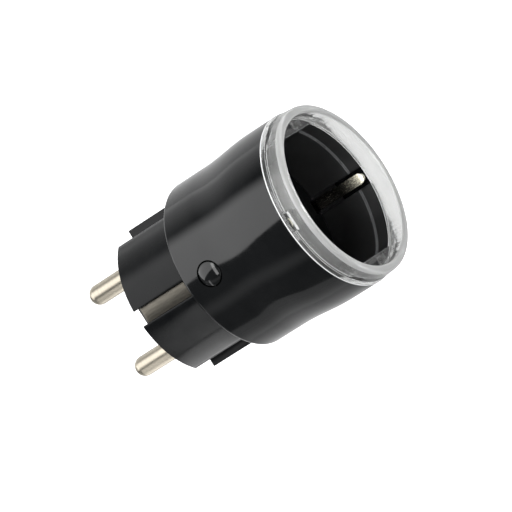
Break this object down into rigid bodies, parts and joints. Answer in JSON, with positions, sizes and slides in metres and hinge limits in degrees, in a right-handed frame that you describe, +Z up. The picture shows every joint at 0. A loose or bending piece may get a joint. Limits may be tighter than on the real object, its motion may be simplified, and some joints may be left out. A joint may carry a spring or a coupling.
{
  "type": "smart plug",
  "caption": "Round black smart plug with a clear light ring, a recessed side-earth socket in front, a push button on top and a two-pin plug behind.",
  "frame": {"origin": "centre of the plug's engagement face, where it meets the wall socket's floor", "axes": "+Y along the pins into the wall, -Y out of the socket face, +Z up through the button, X along the line between the two pins"},
  "size_m": [0.043, 0.071, 0.043],
  "materials": {
    "shell_black": "polished moulded plastic",
    "ring_clear": "clear polished plastic",
    "insert_black": "satin moulded plastic",
    "floor_black": "satin moulded plastic",
    "base_black": "polished moulded plastic",
    "button_black": "polished moulded plastic",
    "pin_nickel": "nickel-plated brass",
    "earth_strip_metal": "dull nickel-plated brass",
    "earth_clip_metal": "nickel-plated spring brass",
    "bus_metal": "nickel-plated brass",
    "contact_brass": "bright brass",
    "wire_green": "satin insulation",
    "shutter_white": "matte moulded plastic",
    "spring_steel": "drawn wire",
    "switch_grey": "matte moulded plastic",
    "plunger_white": "matte moulded plastic",
    "board_green": "solder mask",
    "board_white": "white solder mask",
    "module_can": "tinned sheet",
    "header_black": "matte moulded plastic",
    "led_lens": "clear resin",
    "relay_blue": "matte moulded plastic",
    "capacitor_sleeve": "printed sleeve, left plain",
    "inductor_core": "ferrite",
    "varistor_blue": "dipped resin",
    "fuse_green": "ceramic coat",
    "chip_black": "matte resin",
    "screw_steel": "zinc-plated"
  },
  "bodies": {
    "housing": {"outer_shell": "shell_black", "light_ring": "ring_clear", "recess_wall": "insert_black", "socket_floor": "floor_black", "plug_base": "base_black", "live_pin": "pin_nickel", "neutral_pin": "pin_nickel", "upper_earth_strip": "earth_strip_metal", "lower_earth_strip": "earth_strip_metal", "earth_bus": "bus_metal", "earth_wires": "wire_green", "earth_pin_sleeve": "contact_brass", "live_receptacle": "contact_brass", "neutral_receptacle": "contact_brass", "shutter_spring": "spring_steel", "switch_body": "switch_grey", "control_board": "board_green", "wifi_module": "module_can", "board_header": "header_black", "led_board": "board_white", "status_leds": "led_lens", "power_board": "board_green", "relay": "relay_blue", "capacitor": "capacitor_sleeve", "inductor": "inductor_core", "varistor": "varistor_blue", "fuse": "fuse_green", "metering_chip": "chip_black", "case_screws": "screw_steel"},
    "button": {"button_cap": "button_black"},
    "switch_plunger_body": {"switch_plunger": "plunger_white"},
    "upper_clip": {"upper_socket_clip": "earth_clip_metal"},
    "lower_clip": {"lower_socket_clip": "earth_clip_metal"},
    "shutter_plate": {"shutter": "shutter_white"}
  },
  "joints": [
    {"name": "button_press", "type": "slide", "parent": "housing", "child": "button", "axis": [0, 0, -1], "range_m": [0, 0.00045], "stiffness_N_per_m": 500, "springref_m": -0.001},
    {"name": "switch_travel", "type": "slide", "parent": "housing", "child": "switch_plunger_body", "axis": [0, 0, -1], "range_m": [0, 0.00045]},
    {"name": "upper_clip_flex", "type": "hinge", "parent": "housing", "child": "upper_clip", "pos_m": [0, -0.0294, 0.0184], "axis": [-1, 0, 0], "range_deg": [0, 3], "stiffness_Nm_per_rad": 1.1, "springref_deg": -1.15},
    {"name": "lower_clip_flex", "type": "hinge", "parent": "housing", "child": "lower_clip", "pos_m": [0, -0.0294, -0.0184], "axis": [1, 0, 0], "range_deg": [0, 3], "stiffness_Nm_per_rad": 1.1, "springref_deg": -1.15},
    {"name": "shutter_slide", "type": "slide", "parent": "housing", "child": "shutter_plate", "axis": [0, 0, 1], "range_m": [0, 0.0059], "stiffness_N_per_m": 80, "springref_m": -0.004, "deforming": ["shutter_spring"]}
  ],
  "couplings": [
    {"joint": "switch_travel", "follows": "button_press", "ratio": 1}
  ]
}
